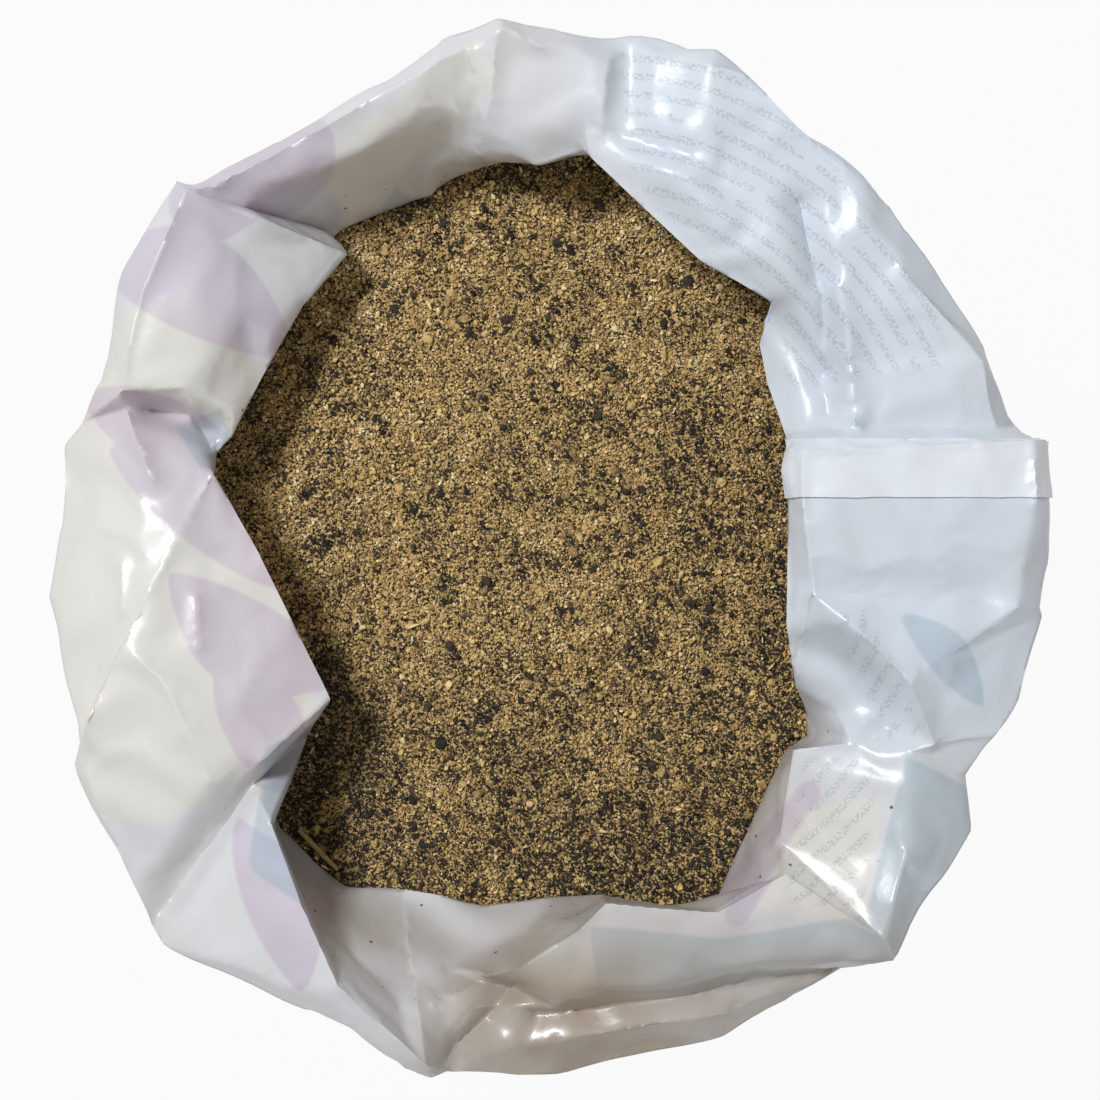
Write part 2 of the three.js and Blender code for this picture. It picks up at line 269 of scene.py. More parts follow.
def refine(bm, step_at):
    """Splits edges until none is much longer than the step its place asks for. Folds stay where they are."""
    for share in SPLITS:
        long_edges = [
            edge
            for edge in bm.edges
            if edge.calc_length() > LONG * share * step_at((edge.verts[0].co + edge.verts[1].co) / 2)
        ]
        bmesh.ops.subdivide_edges(bm, edges=long_edges, cuts=1)
        bmesh.ops.triangulate(bm, faces=[face for face in bm.faces if len(face.verts) > 3])
        loose = [edge for edge in bm.edges if edge.smooth and not edge.seam and not edge.is_boundary]
        bmesh.ops.beautify_fill(bm, faces=bm.faces, edges=loose)


def relax(points, edges, pull, rounds):
    """Moves each point towards the middle of its neighbours, by its own pull, a number of times."""
    count = len(points)
    ends = np.concatenate([edges[:, 0], edges[:, 1]])
    others = np.concatenate([edges[:, 1], edges[:, 0]])
    degree = np.bincount(ends, minlength=count)[:, None]
    for _ in range(rounds):
        middle = np.stack([np.bincount(ends, points[others, k], count) for k in range(3)], 1) / degree
        points = points + pull[:, None] * (middle - points)
    return points


# Ridges, and grooves with a minus, that the folds leave in the mouth's panels: height and half width, whether
# the top is round, then the line that they follow, seen from above. All in millimetres.
RIDGES = (
    # upper left flap and the pleat where the left panel comes out from under it
    (-2, 10, True, ((-77, 80), (-80, 58), (-82, 46))),
    (3, 5, False, ((-108, 38), (-104, 28), (-100, 18))),
    (-6, 5, True, ((-101, 36), (-88, 31))),
    # left panel
    (2, 12, False, ((-84, 22), (-100, -10), (-118, -46))),
    (1.5, 9, False, ((-104, -26), (-96, -34), (-91, -45), (-86, -58))),
    (1.2, 3, False, ((-89, -12), (-88, -25))),
    (1, 3, False, ((-108, -3), (-108, -16))),
    (-4, 7, True, ((-98, -88), (-86, -70), (-77, -58))),
    # near left flap
    (2.5, 8, True, ((-51, -88), (-47, -106), (-42, -115), (-32, -130))),
    # near wall and the end of the flap that crosses it
    (-3, 7, True, ((-41, -90), (-33, -97), (-24, -105), (-15, -108))),
    (3, 6, False, ((-10, -107), (-22, -113), (-30, -116))),
    (-4, 6, False, ((-9, -112), (-17, -121), (-27, -129))),
    (3, 6, True, ((-33, -116), (-29, -129))),
    (-5, 6, False, ((-4, -119), (10, -118), (25, -116), (42, -113), (62, -109), (72, -107))),
    (2, 6, False, ((-22, -130), (-8, -127), (10, -124), (26, -121), (45, -119))),
    # pocket on the near right, and the fold over it
    (2, 5, False, ((60, -47), (67, -48), (81, -44))),
    (1.5, 5, False, ((66, -11), (78, -21), (90, -33), (97, -49))),
    (-3, 7, True, ((68, -25), (77, -32), (87, -44))),
    (-2.5, 9, True, ((68, -10), (84, -10), (108, -11))),
    # far right panel
    (-4.5, 6, False, ((63, 87), (66, 74), (69, 65), (70, 50), (71, 34))),
    (3, 5, False, ((72, 66), (75, 55), (77, 32))),
    (-4, 5, True, ((57, 60), (64, 52), (69, 45))),
    (2, 6, True, ((28, 96), (36, 89), (43, 82))),
    (-2.5, 6, False, ((11, 107), (23, 103), (35, 99))),
    (1.5, 9, True, ((42, 123), (38, 107), (35, 98))),
    # far panel: its right fold, and the crease down from the peak
    (2, 6, False, ((15, 125), (13, 108))),
    (-2, 6, True, ((20, 123), (19, 111))),
    (1.5, 5, False, ((-12, 131), (-2, 126))),
    (2, 5, False, ((-13, 131), (-15, 114), (-18, 103))),
)
RIDGE_CATCH = 1.0  # millimetres: points this close to a crisp ridge are drawn onto it
RIDGE_POWER = 1.3  # gives a crisp ridge slightly hollow sides
TOP_RAMP = 3  # the ridges fade out where the film's normal rises by less than one over this
WAVES = ((0.9, 34), (0.5, 13))  # soft waves in the panels: height and usual length, in millimetres
CRINKLE = 0.8, 21, 3  # faint sharp creases: height and distance in millimetres, and a narrowing power
CREASE_START = Vector((7.3, 1.9, 4.1))  # where the random creases are read from


def way_to_line(places, line):
    """The way from each place to the nearest point of a line."""
    way = np.full(places.shape, np.inf)
    for a, b in zip(np.array(line[:-1], float), np.array(line[1:], float)):
        side = b - a
        share = np.clip((places - a) @ side / (side @ side), 0, 1)
        this_way = a + share[:, None] * side - places
        nearer = np.linalg.norm(this_way, axis=1) < np.linalg.norm(way, axis=1)
        way[nearer] = this_way[nearer]
    return way


def normals_of(points, faces):
    """The unit normals of the points."""
    a, b, c = (points[faces[:, k]] for k in range(3))
    normals = np.zeros((len(points), 3))
    for k in range(3):
        np.add.at(normals, faces[:, k], np.cross(b - a, c - a))
    return normals / np.maximum(np.linalg.norm(normals, axis=1, keepdims=True), 1e-12)


def press_ridges(points, faces):
    """Presses the ridges into the mouth's upper side. Gives the points, and which lie on a crisp ridge."""
    normals = normals_of(points, faces)
    top = np.clip(normals[:, 2] * TOP_RAMP, 0, 1) * (points[:, 2] > COLLAR_FLOOR)
    crisp = np.zeros(len(points), bool)
    points = points.copy()
    for _, _, is_round, line in RIDGES:
        if not is_round:
            way = way_to_line(points[:, :2] / MM, line)
            caught = (np.linalg.norm(way, axis=1) < RIDGE_CATCH) & (top == 1)
            slide = way[caught] * MM
            slope = -(slide * normals[caught, :2]).sum(1) / normals[caught, 2]
            points[caught] += np.column_stack([slide, slope])
            crisp |= caught
    rise = np.zeros(len(points))
    for height, half_width, is_round, line in RIDGES:
        off = np.linalg.norm(way_to_line(points[:, :2] / MM, line), axis=1) / half_width
        round_top = np.clip(1 - off**2, 0, 1) ** 2
        rise += height * MM * (round_top if is_round else np.clip(1 - off, 0, 1) ** RIDGE_POWER)
    places = [Vector(p) / MM for p in points]
    for height, wave in WAVES:
        rise += height * MM * np.array([noise.noise(p / wave) for p in places])
    height, apart, narrow = CRINKLE
    creases = np.array([1 - abs(noise.noise(p / apart + CREASE_START)) for p in places])
    rise += height * MM * creases**narrow
    points[:, 2] += rise * top
    return points, crisp


GATHER, GATHER_PITCH, GATHER_RUN = 2, 17, 75  # gathers in the film: depth, pitch and length, in millimetres
SIDE_WAVES = ((3.2, 62), (1.7, 28))  # soft waves down the sides: height and usual length, in millimetres
NECK_REACH = 75  # the gathers of the neck run this far down the body, in millimetres
CUFF_RAMP = 1.5  # the turned-down edge has full gathers where it faces outwards by one over this
BODY_FACING = -0.6  # film that faces inwards more than this is the inside of the body


def gather_sides(points, faces):
    """Moves the film of the sides in and out: upright gathers at the neck and the edge, and soft waves."""
    outward = points[:, :2] / np.maximum(np.linalg.norm(points[:, :2], axis=1, keepdims=True), MM)
    facing = (normals_of(points, faces)[:, :2] * outward).sum(1)
    bearing = np.arctan2(points[:, 1], points[:, 0])
    shift = np.zeros(len(points))
    for i, (turn, place) in enumerate(zip(bearing, points / MM)):
        around = Vector((math.cos(turn), math.sin(turn), 0)) * BODY_RADIUS / GATHER_PITCH
        gather = GATHER * noise.noise(around + Vector((0, 0, place[2] / GATHER_RUN)))
        if facing[i] > CUFF_FACING:
            shift[i] = gather * min(1, facing[i] * CUFF_RAMP)
        elif facing[i] < BODY_FACING and points[i, 2] < COLLAR_FLOOR:
            to_neck = max(0, 1 - (COLLAR_FLOOR / MM - place[2]) / NECK_REACH)
            waves = sum(height * noise.noise(Vector(place) / wave) for height, wave in SIDE_WAVES)
            shift[i] = waves + gather * to_neck
    return points + np.column_stack([outward * shift[:, None], np.zeros(len(points))]) * MM


SHARP_FOLD = math.radians(48)  # folds turned further than this stay crisp
SOFT_FOLD = math.radians(20)  # and those between the two are a little softer
FREE_PULL, SOFT_PULL, SHARP_PULL = 0.55, 0.2, 0.03
SOFTENING_ROUNDS, RIDGE_ROUNDS = 9, 4
FINE_BAND = 22 * MM  # the folds this far down from the rim get the finest mesh
# Places where the film turns in a wide curve and has no fold, from above: middle and reach, in millimetres
WIDE_TURNS = (((-19, 106), 15),)
WIDE_ROUNDS = 40


def film_mesh(settings):
    """The film's refined and softened inside: points, triangles, edges, and which points are on folds."""
    bm = inside_face()
    for edge in bm.edges:
        turn = 0 if edge.is_boundary else edge.calc_face_angle()
        edge.seam = turn > SHARP_FOLD
        edge.smooth = turn < SOFT_FOLD
    steps = (
        (BAG_HIGH.z - FINE_BAND, settings.collar_step),
        (COLLAR_FLOOR, settings.neck_step),
        (-1, settings.body_step),
    )
    refine(bm, lambda p: next(step for floor, step in steps if p.z > floor))
    bm.verts.index_update()
    points = np.array([v.co for v in bm.verts])
    edges = np.array([[v.index for v in e.verts] for e in bm.edges])
    faces = np.array([[v.index for v in f.verts] for f in bm.faces])
    sharp = np.array([any(e.seam for e in v.link_edges) for v in bm.verts])
    soft = np.array([any(not e.smooth for e in v.link_edges) for v in bm.verts])
    hem = np.array([v.is_boundary for v in bm.verts])
    bm.free()
    wide = np.zeros(len(points), bool)
    for middle, reach in WIDE_TURNS:
        wide |= (np.linalg.norm(points[:, :2] / MM - middle, axis=1) < reach) & (points[:, 2] > COLLAR_FLOOR)
    sharp &= ~wide
    pull = np.where(sharp, SHARP_PULL, np.where(soft, SOFT_PULL, FREE_PULL))
    pull[hem] = 0
    points = relax(points, edges, pull, SOFTENING_ROUNDS)
    points = relax(points, edges, FREE_PULL * wide, WIDE_ROUNDS)
    points, ridge = press_ridges(points, faces)
    points = gather_sides(points, faces)
    folds = sharp | ridge
    pull = np.where(folds, SHARP_PULL, SOFT_PULL)
    pull[hem] = 0
    return relax(points, edges, pull, RIDGE_ROUNDS), faces, edges, folds


HELD_BODY, HELD_FOLD, HELD_PANEL = 1.0, 0.6, 0.15  # how firmly the film stays where it lies
SETTLING_STEPS = 24


def crumple(piece, held, settings):
    """Lets the film settle as cloth that is a little too large for its folds, held loosely where it lies."""
    group = piece.vertex_groups.new(name="held")
    for weight in np.unique(held):
        group.add(np.flatnonzero(held == weight).tolist(), float(weight), "REPLACE")
    modifier = piece.modifiers.new("crumple", "CLOTH")
    cloth = modifier.settings
    cloth.quality = 6
    cloth.mass = 0.05
    cloth.tension_stiffness = 30
    cloth.compression_stiffness = 30
    cloth.shear_stiffness = 15
    cloth.bending_stiffness = 2
    cloth.air_damping = 4
    cloth.vertex_group_mass = group.name
    cloth.pin_stiffness = 1
    cloth.shrink_min = -settings.spare
    cloth.effector_weights.gravity = 0.05
    modifier.collision_settings.use_collision = False
    modifier.collision_settings.use_self_collision = False
    modifier.point_cache.frame_start = 1
    modifier.point_cache.frame_end = SETTLING_STEPS
    for step in range(1, SETTLING_STEPS + 1):
        bpy.context.scene.frame_set(step)
    apply_modifier(piece, modifier)
    bpy.context.scene.frame_set(1)


PANEL_PULL, PANEL_ROUNDS = 0.3, 2  # how the panels are smoothed once they have settled


def smooth_out(piece, edges, folds):
    """Takes the jagged steps of the mesh out of the settled panels between the folds."""
    points = points_of(piece)
    pull = np.where(folds, SHARP_PULL, PANEL_PULL)
    pull[points[:, 2] < COLLAR_FLOOR] = 0
    points = relax(points, edges, pull, PANEL_ROUNDS)
    piece.data.vertices.foreach_set("co", points.ravel())
    piece.data.update()


def refine_folds(piece, folds):
    """Splits the mesh once more beside the folds, so that a fold shows as a narrow line of light."""
    on_fold = set(np.flatnonzero(folds & (points_of(piece)[:, 2] > COLLAR_FLOOR)).tolist())
    bm = bmesh.new()
    bm.from_mesh(piece.data)
    beside = [edge for edge in bm.edges if any(vert.index in on_fold for vert in edge.verts)]
    bmesh.ops.subdivide_edges(bm, edges=beside, cuts=1)
    bmesh.ops.triangulate(bm, faces=[face for face in bm.faces if len(face.verts) > 3])
    bm.to_mesh(piece.data)
    bm.free()


LEAF_POWER = 0.8  # makes the leaves a little fuller than a bow


def leaf(places, root, tip, width, bend):
    """How far places lie inside a broad leaf, pointed at both ends, in millimetres: positive inside it."""
    root, tip = np.array(root, float), np.array(tip, float)
    reach = np.linalg.norm(tip - root)
    along = (tip - root) / reach
    across = np.array([-along[1], along[0]])
    share = (places - root) @ along / reach
    arch = np.sin(np.pi * np.clip(share, 0, 1))
    off = np.abs((places - root) @ across - bend * arch)
    return np.minimum(width / 2 * arch**LEAF_POWER - off, np.minimum(share, 1 - share) * reach)


def stripe(places, start, end, width):
    """How far places lie inside a stripe with round ends, in millimetres: positive inside it."""
    return width / 2 - np.linalg.norm(way_to_line(places, (start, end)), axis=1)


def field(places, *corners):
    """How far places lie inside a straight-sided field, in millimetres: positive inside it."""
    corners = np.array(corners, float)
    within = np.zeros(len(places), bool)
    for a, b in zip(corners, np.roll(corners, -1, axis=0)):
        crossing = (a[1] > places[:, 1]) != (b[1] > places[:, 1])
        slope = (b[0] - a[0]) / (b[1] - a[1] or 1e-9)
        within ^= crossing & (places[:, 0] < a[0] + (places[:, 1] - a[1]) * slope)
    nearest = np.linalg.norm(way_to_line(places, (*corners, corners[0])), axis=1)
    return np.where(within, nearest, -nearest)


# The print on the mouth, seen from above, in millimetres. Its pale blue ground on the right is painted cool
# light
MOUTH_PRINT = {
    "pale_blue": (
        (field, (14, 134), (60, 130), (134, 60), (136, -20), (114, -66))
        + ((88, -54), (56, -44), (50, 30), (14, 98)),
    ),
    "cream": (
        (field, (-60, 96), (-20, 128), (-12, 118), (-52, 88)),
        (field, (-126, 52), (-92, 66), (-60, 30), (-60, -48), (-100, -70), (-126, -66)),
        (field, (60, -68), (84, -62), (80, -96), (52, -90)),
    ),
    "lilac": (
        (leaf, (-118, 76), (-66, 50), 25, 5),
        (leaf, (-121, 40), (-82, 28), 16, -2),
        (stripe, (-86, 88), (-64, 101), 20),
        (leaf, (-112, 26), (-68, -10), 23, 6),
        (leaf, (-96, -6), (-52, -34), 22, -5),
        (leaf, (-84, -30), (-68, -62), 19, 4),
        (leaf, (-80, -68), (-62, -112), 19, 4),
        (stripe, (47, -92), (66, -62), 6),
    ),
    "blue": (
        (field, (10, -95), (44, -98), (80, -92), (90, -52), (106, -60))
        + ((110, -74), (87, -106), (40, -114), (12, -112)),
        (field, (-54, 82), (-40, 96), (-30, 88), (-46, 76)),
        (field, (-96, 32), (-84, 36), (-80, 22), (-88, 20)),
        (field, (-72, -50), (-56, -42), (-58, -92), (-76, -80)),
        (leaf, (88, -16), (110, -40), 11, 2),
    ),
    "small_print": (
        (field, (16, 128), (44, 124), (72, 97), (96, 66), (102, 46), (60, 40), (58, 62), (20, 90)),
        (field, (64, -52), (84, -52), (80, -92), (58, -90)),
        (field, (80, -14), (96, -46), (86, -50), (70, -16)),
    ),
}
# The print on the body: along its girth from +X, and up from the floor, in millimetres
BODY_PRINT = {
    "pale_blue": ((field, (-400, 150), (400, 150), (400, 330), (-400, 330)),),
    "cream": ((field, (-400, 60), (400, 60), (400, 138), (-400, 138)),),
    "lilac": (
        (leaf, (-270, 84), (-292, 226), 46, 12),
        (leaf, (-200, 84), (-186, 252), 52, -8),
        (leaf, (-120, 84), (-84, 214), 46, -12),
        (leaf, (96, 84), (76, 206), 46, 12),
        (leaf, (168, 84), (182, 248), 52, -8),
        (leaf, (246, 84), (284, 210), 46, -12),
    ),
    "blue": ((field, (-400, 22), (400, 22), (400, 74), (-400, 74)),),
    "small_print": (
        (field, (-50, 120), (40, 120), (40, 216), (-50, 216)),
        (field, (306, 120), (364, 120), (364, 190), (306, 190)),
    ),
}


def ink_depths(points, body):
    """For each colour of the print, how far each film point lies inside it, in millimetres."""
    bearing = np.arctan2(points[:, 1], points[:, 0])
    on_body = np.stack([bearing * BODY_RADIUS, points[:, 2] / MM], 1)
    above = points[:, :2] / MM
    depths = {}
    for colour_name in MOUTH_PRINT:
        mouth_depth = np.max([shape(above, *sizes) for shape, *sizes in MOUTH_PRINT[colour_name]], axis=0)
        body_depth = np.max([shape(on_body, *sizes) for shape, *sizes in BODY_PRINT[colour_name]], axis=0)
        depths[colour_name] = np.where(body, body_depth, mouth_depth)
    return depths


PAINTED_SHADE_START, PAINTED_SHADE_RANGE = 8 * MM, 26 * MM  # painted shade darkens the film from this far below the rim
FAR_PAINTED_SHADE = 0.06  # and this little of it on the far side
NEAR_PAINTED_SHADE = 1.25  # painted shade is strongest on the near side
NEAR_PAINTED_SHADE_FROM = -42 * MM  # which is from here on, along X
NEAR_BRIM = 85 * MM  # and this far to the near side
DUST_FROM = FILL_LOW.z + 0.98 * (FILL_HIGH.z - FILL_LOW.z)  # close to the top of the fertilizer
DUST_REACH = 46 * MM  # dust clings to the film this far up from there
MOST_DUST = 0.55  # share of the places with a speck, right above the fertilizer
NECK_TOP = FILL_HIGH.z - 14 * MM  # up to here the fertilizer hides the film's inside


def ramp(numbers, start, run):
    """From 0 at a start to 1 after a run."""
    return np.clip((numbers - start) / run, 0, 1)


def mark_film(piece):
    """Stores on the film where the print's colours and rows are, where dust clings, and where shade is
    painted.
    """
    mesh = piece.data
    points = points_of(piece)
    x, y, z = points.T
    radius = np.hypot(x, y)
    normals = np.empty(points.size)
    mesh.vertex_normals.foreach_get("vector", normals)
    cuff = (normals.reshape(-1, 3)[:, :2] * points[:, :2]).sum(1) / radius > CUFF_FACING
    body = (z < COLLAR_FLOOR) | ((z < NECK_TOP) & ~cuff)
    values = ink_depths(points, body)
    values["dust"] = MOST_DUST * (1 - ramp(z, DUST_FROM, DUST_REACH)) ** 2 * ~(body | cuff)
    # Painted shade: darker down the walls into the bag, more so towards the near side, most on the near brim
    wall = ramp(BAG_HIGH.z - z, PAINTED_SHADE_START, PAINTED_SHADE_RANGE)
    to_near = np.clip(0.5 - y / (BAG_HIGH.y - BAG_LOW.y), 0, 1)
    near_painted_shade = NEAR_PAINTED_SHADE * ramp(-y, NEAR_BRIM, PAINTED_SHADE_RANGE) * ramp(x, NEAR_PAINTED_SHADE_FROM, PAINTED_SHADE_RANGE)
    above_cuff = ramp(z, BAG_HIGH.z - 2 * PAINTED_SHADE_RANGE, PAINTED_SHADE_RANGE)
    values["grime"] = np.maximum(wall * (FAR_PAINTED_SHADE + (1 - FAR_PAINTED_SHADE) * to_near), near_painted_shade) * above_cuff
    for name, numbers in values.items():
        store(piece, name, numbers)
    rows = np.stack([np.arctan2(y, x) * BODY_RADIUS * MM, np.where(body, z, radius), np.zeros_like(x)], 1)
    data = mesh.attributes.new("rows", "FLOAT_VECTOR", "POINT").data
    data.foreach_set("vector", rows.astype(np.float32).ravel())


FILM_CRISP = math.radians(80)  # folds turned further than this are shaded with an edge


class BAG_OT_film(bpy.types.Operator):
    """Lays the crumpled film bag over its solid"""

    bl_idname = "bag.film"
    bl_label = "Film bag"

    def execute(self, context):
        settings = context.scene.bag_film
        points, faces, edges, folds = film_mesh(settings)
        piece = new_piece("film", points, faces)
        held = np.where(folds, HELD_FOLD, HELD_PANEL)
        held[points[:, 2] < COLLAR_FLOOR] = HELD_BODY
        crumple(piece, held, settings)
        smooth_out(piece, edges, folds)
        refine_folds(piece, folds)
        mark_film(piece)
        for side, strength in (("inside", settings.ghost), ("printed", 1)):
            name = f"white polyethylene film, {side}"
            piece.data.materials.append(film_material(name, settings, settings.white, strength))
        thicken(piece, settings.thickness, -1, 1, FILM_CRISP)
        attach(piece, "root")
        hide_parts("bag")
        return {"FINISHED"}


INK_EDGE = 0.5  # millimetres over which the edge of the print fades
GROUND_EDGE = 14  # and the edge of the pale blue ground, which on the mouth is painted cool light
BLOCK_EDGE = 2  # and the edge of a block of small print
CLOUD, CREASE = 45 * MM, 7 * MM  # usual lengths of the film's clouds and of its finest creases
SPECK_PITCH = 3.6 * MM  # between the places where a speck of dust may cling
SPECK_OUT, SPECK_IN = 0.17, 0.1  # a speck fades between these shares of the pitch
ROW_PITCH, WORD, STROKE = 4.6 * MM, 7 * MM, 0.8 * MM  # rows of small print, their words, and their specks
ROW_HALF = 0.2  # half the height of the specks, as a share of the pitch
WORD_FROM, STROKE_FROM = (0.34, 0.38), (0.42, 0.58)  # chances between which words and specks begin to show
# Ranges of the clouds, and what they are carried over to: warmth, the patches of painted shade, and roughness
WARMTH, PAINTED_SHADE_CLOUDS, GLOSS = (0.4, 0.75, 0, 0.3), (0.3, 0.7, 0.4, 0.8), (0.3, 0.7, 0.25, 0.4)


def small_print(tree):
    """Rows of specks with gaps between words, which stand for lines of small print."""
    place = put(tree, "ShaderNodeAttribute", attribute_name="rows").outputs["Vector"]
    run, rise, _ = put(tree, "ShaderNodeSeparateXYZ", {0: place}).outputs
    line = calculate(tree, "DIVIDE", rise, ROW_PITCH)
    row = calculate(tree, "FLOOR", line)
    height = calculate(tree, "FRACT", line)
    specks = calculate(tree, "COMPARE", height, 0.5, ROW_HALF)
    for size, tall, shown in ((WORD, 0, WORD_FROM), (STROKE, ROW_PITCH / STROKE, STROKE_FROM)):
        across = calculate(tree, "DIVIDE", run, size)
        along = calculate(tree, "MULTIPLY_ADD", height, tall, row)
        spot = put(tree, "ShaderNodeCombineXYZ", {0: across, 1: along, 2: row}).outputs[0]
        specks = calculate(tree, "MULTIPLY", specks, mapped(tree, clouds(tree, spot, 1, 0), *shown))
    return specks


def film_material(name, settings, white, strength):
    """Polyethylene film: milky white and glossy, with faint warm clouds and fine creases. Its print is plain
    fields, leaves and rows of specks, weaker where it shows through, with painted shade and specks of dust
    over it. Its pale blue ground on the mouth is painted cool light."""
    material, tree = new_material(name)
    place = put(tree, "ShaderNodeTexCoord").outputs["Object"]
    haze = clouds(tree, place, CLOUD, 4)
    film = tinted(tree, mapped(tree, haze, *WARMTH), (*white, 1), settings.warm)
    for ink in ("pale_blue", "cream", "lilac", "blue"):
        # the pale blue ground is painted cool light, so its edge fades broadly
        edge = GROUND_EDGE if ink == "pale_blue" else INK_EDGE
        cover = mapped(tree, stored(tree, ink), -edge, edge, 0, strength)
        film = tinted(tree, cover, film, getattr(settings, ink))
    block = mapped(tree, stored(tree, "small_print"), 0, BLOCK_EDGE, 0, strength)
    film = tinted(tree, calculate(tree, "MULTIPLY", small_print(tree), block), film, settings.ink)
    # painted shade, laid on in patches by the clouds
    painted_shade_cover = calculate(tree, "MULTIPLY", stored(tree, "grime"), mapped(tree, haze, *PAINTED_SHADE_CLOUDS))
    film = tinted(tree, painted_shade_cover, film, settings.grime)
    cell = put(tree, "ShaderNodeTexVoronoi", {"Vector": place, "Scale": 1 / SPECK_PITCH, "Randomness": 1})
    dot = mapped(tree, cell.outputs["Distance"], SPECK_OUT, SPECK_IN)
    lot = put(tree, "ShaderNodeSeparateColor", {"Color": cell.outputs["Color"]}).outputs[0]
    drawn = calculate(tree, "LESS_THAN", lot, stored(tree, "dust"))
    film = tinted(tree, calculate(tree, "MULTIPLY", dot, drawn), film, settings.dust)
    relief = clouds(tree, place, CREASE, 3, 1.2)
    bump = put(tree, "ShaderNodeBump", {"Height": relief, "Strength": 0.12, "Distance": 1 * MM})
    shade(
        tree,
        {
            "Base Color": film,
            "Roughness": mapped(tree, haze, *GLOSS),
            "IOR": 1.51,
            "Normal": bump.outputs[0],
            "Coat Weight": 0.22,
            "Coat Roughness": 0.08,
        },
    )
    return material


STRIP_LOW, STRIP_HIGH = 13.2 * MM, 27.6 * MM  # the strip's two edges, along Y
STRIP_START = 59 * MM  # and its end at the lip, along X
STRIP_REST = BAG_HIGH.z - 16 * MM  # it ends outside the brim, at this height
STRIP_WALL = 0.5 * MM
STRIP_MARGIN = 4 * MM  # film this far before its end is cut along with it
STRIP_LEAST_RISE = 0.05  # film whose normal rises less than this lies under the fold
STRIP_LIFT, STRIP_WAVE, STRIP_RUN = 0.25, 0.2, 9  # its lift, and its waves' height and length, in millimetres
STRIP_CRISP = math.radians(50)


class BAG_OT_weld_strip(bpy.types.Operator):
    """Welds the folded strip across the mouth's right side"""

    bl_idname = "bag.weld_strip"
    bl_label = "Weld strip"

    def execute(self, context):
        film = bpy.data.objects["film"]
        bm = bmesh.new()
        bm.from_mesh(film.data)
        start = STRIP_START - STRIP_MARGIN
        hidden = [f for f in bm.faces if f.material_index or f.calc_center_median().x < start]
        bmesh.ops.delete(bm, geom=hidden, context="FACES")
        for point, normal in (
            ((0, STRIP_LOW, 0), (0, -1, 0)),
            ((0, STRIP_HIGH, 0), (0, 1, 0)),
            ((STRIP_START, 0, 0), (-1, 0, 0)),
            ((0, 0, STRIP_REST), (0, 0, -1)),
        ):
            everything = bm.verts[:] + bm.edges[:] + bm.faces[:]
            bmesh.ops.bisect_plane(bm, geom=everything, plane_co=point, plane_no=normal, clear_outer=True)
        under = [f for f in bm.faces if f.normal.z < STRIP_LEAST_RISE]
        bmesh.ops.delete(bm, geom=under, context="FACES")
        bm.normal_update()
        for vert in bm.verts:
            vert.co += vert.normal * (STRIP_LIFT + STRIP_WAVE * noise.noise(vert.co / (STRIP_RUN * MM))) * MM
        mesh = bpy.data.meshes.new("mouth_weld_strip")
        bm.to_mesh(mesh)
        bm.free()
        piece = bpy.data.objects.new("mouth_weld_strip", mesh)
        context.scene.collection.objects.link(piece)
        mesh.materials.clear()
        settings = context.scene.bag_film
        # the strip's colour holds painted cool light
        material = film_material("white polyethylene film, welded", settings, settings.double_white_and_cool_light, 0)
        mesh.materials.append(material)
        thicken(piece, STRIP_WALL, 1, 0, STRIP_CRISP)
        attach(piece, "root")
        return {"FINISHED"}


def tree_of(piece):
    """A search tree of a piece's faces, for casting rays at it."""
    mesh = piece.data
    return BVHTree.FromPolygons([v.co for v in mesh.vertices], [p.vertices for p in mesh.polygons])


HEAP_STEP, HEAP_SIDE_STEP = 2.2 * MM, 6 * MM
HEAP_BAND = 19.5 * MM  # the top of the heap, down from its highest point
FILM_GAP = 0.4 * MM  # between the heap and the film
SIDE_GAP = 3 * MM  # and lower down, where neither shows
BASE_ROUND = 40 * MM  # the film's rounding between its base and its sides ends below this height
EDGE_REACH = 1.6 * MM  # the edge of the heap's top is drawn out to the film by at most this
TOP_FACING = 0.9  # a point is on that edge where its normal rises less than this
UNEVEN, UNEVEN_RUN = 0.5 * MM, 6 * MM  # height and usual length of the heap's small bumps
GRAIN_BED = 0.8 * MM  # the loose grains lie this deep on the heap
GRAIN_ROOM = 0.9 * MM  # and no closer to the film than this


def reaches(point, film):
    """How far from the bag's axis a point lies, and the film beyond it at the same height."""
    outward = Vector((point.x, point.y, 0))
    return outward.length, film.ray_cast(Vector((0, 0, point.z)), outward.normalized())[3]


def kept_inside(point, film):
    """A point of the heap's hidden sides and base, drawn in until it lies inside the film."""
    if point.z < BASE_ROUND:
        under = film.ray_cast(Vector((point.x, point.y, BASE_ROUND)), DOWN)
        if under[0]:
            point.z = max(point.z, under[0].z + SIDE_GAP / 2)
    reach, wall = reaches(point, film)
    if wall:
        point.xy *= min(1, (wall - SIDE_GAP) / reach)
    return point


